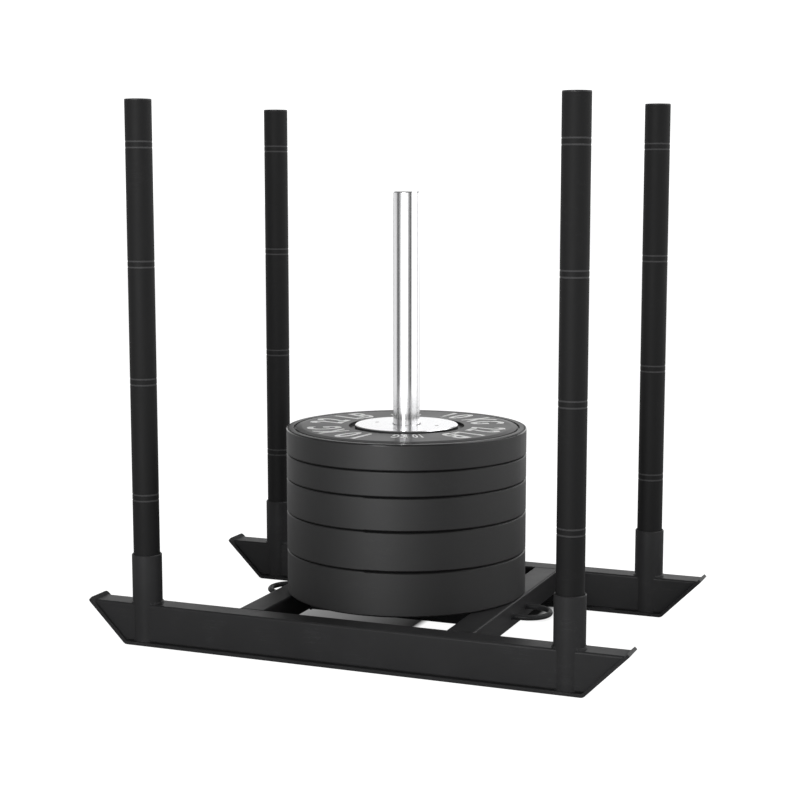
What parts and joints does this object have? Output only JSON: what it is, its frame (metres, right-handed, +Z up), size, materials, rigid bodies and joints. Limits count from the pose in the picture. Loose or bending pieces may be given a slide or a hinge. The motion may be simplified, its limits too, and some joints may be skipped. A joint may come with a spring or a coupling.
{
  "type": "weight sled",
  "caption": "Push and pull sled on two skid runners, with lift-out upright poles at the corners and a central loading sleeve that carries a stack of bumper plates.",
  "frame": {"origin": "on the ground under the loading sleeve's axis, at the sled's centre", "axes": "+X along the runners to the front, +Y across to the left runner, +Z up along the sleeve"},
  "size_m": [1.0226, 0.612, 0.9875],
  "materials": {
    "frame_black": "satin black powder coat",
    "skid_black": "satin black powder coat, scuffed on the sole and the toes",
    "pole_black": "matt textured black powder coat",
    "cap_black": "matt moulded plastic",
    "sleeve_chrome": "polished chrome plate",
    "plate_rubber": "smooth matt moulded rubber with white printed numbers",
    "hub_steel": "satin chrome-plated steel",
    "screw_steel": "zinc-plated steel"
  },
  "bodies": {
    "sled_frame": {"right_runner": "frame_black", "right_rear_toe": "frame_black", "right_front_toe": "frame_black", "right_skid": "skid_black", "left_runner": "frame_black", "left_rear_toe": "frame_black", "left_front_toe": "frame_black", "left_skid": "skid_black", "rear_cross_member": "frame_black", "front_cross_member": "frame_black", "centre_beam": "frame_black", "rear_tow_loop": "frame_black", "front_tow_loop": "frame_black", "right_rear_socket": "frame_black", "right_front_socket": "frame_black", "left_rear_socket": "frame_black", "left_front_socket": "frame_black", "sleeve": "sleeve_chrome", "sleeve_cap": "sleeve_chrome"},
    "right_rear_push_pole": {"right_rear_pole": "pole_black", "right_rear_cap": "cap_black"},
    "right_front_push_pole": {"right_front_pole": "pole_black", "right_front_cap": "cap_black"},
    "left_rear_push_pole": {"left_rear_pole": "pole_black", "left_rear_cap": "cap_black"},
    "left_front_push_pole": {"left_front_pole": "pole_black", "left_front_cap": "cap_black"},
    "plate_1": {"plate_1_rubber": "plate_rubber", "plate_1_hub": "hub_steel", "plate_1_screws": "screw_steel"},
    "plate_2": {"plate_2_rubber": "plate_rubber", "plate_2_hub": "hub_steel", "plate_2_screws": "screw_steel"},
    "plate_3": {"plate_3_rubber": "plate_rubber", "plate_3_hub": "hub_steel", "plate_3_screws": "screw_steel"},
    "plate_4": {"plate_4_rubber": "plate_rubber", "plate_4_hub": "hub_steel", "plate_4_screws": "screw_steel"},
    "plate_5": {"plate_5_rubber": "plate_rubber", "plate_5_hub": "hub_steel", "plate_5_screws": "screw_steel"}
  },
  "joints": [
    {"name": "right_rear_pole_lift", "type": "slide", "parent": "sled_frame", "child": "right_rear_push_pole", "axis": [0, 0, 1], "range_m": [0, 0.17]},
    {"name": "right_front_pole_lift", "type": "slide", "parent": "sled_frame", "child": "right_front_push_pole", "axis": [0, 0, 1], "range_m": [0, 0.17]},
    {"name": "left_rear_pole_lift", "type": "slide", "parent": "sled_frame", "child": "left_rear_push_pole", "axis": [0, 0, 1], "range_m": [0, 0.17]},
    {"name": "left_front_pole_lift", "type": "slide", "parent": "sled_frame", "child": "left_front_push_pole", "axis": [0, 0, 1], "range_m": [0, 0.17]},
    {"name": "plate_1_lift", "type": "slide", "parent": "sled_frame", "child": "plate_1", "axis": [0, 0, 1], "range_m": [0, 0.75]},
    {"name": "plate_2_lift", "type": "slide", "parent": "plate_1", "child": "plate_2", "axis": [0, 0, 1], "range_m": [0, 0.67]},
    {"name": "plate_3_lift", "type": "slide", "parent": "plate_2", "child": "plate_3", "axis": [0, 0, 1], "range_m": [0, 0.6]},
    {"name": "plate_4_lift", "type": "slide", "parent": "plate_3", "child": "plate_4", "axis": [0, 0, 1], "range_m": [0, 0.535]},
    {"name": "plate_5_lift", "type": "slide", "parent": "plate_4", "child": "plate_5", "axis": [0, 0, 1], "range_m": [0, 0.49]}
  ]
}
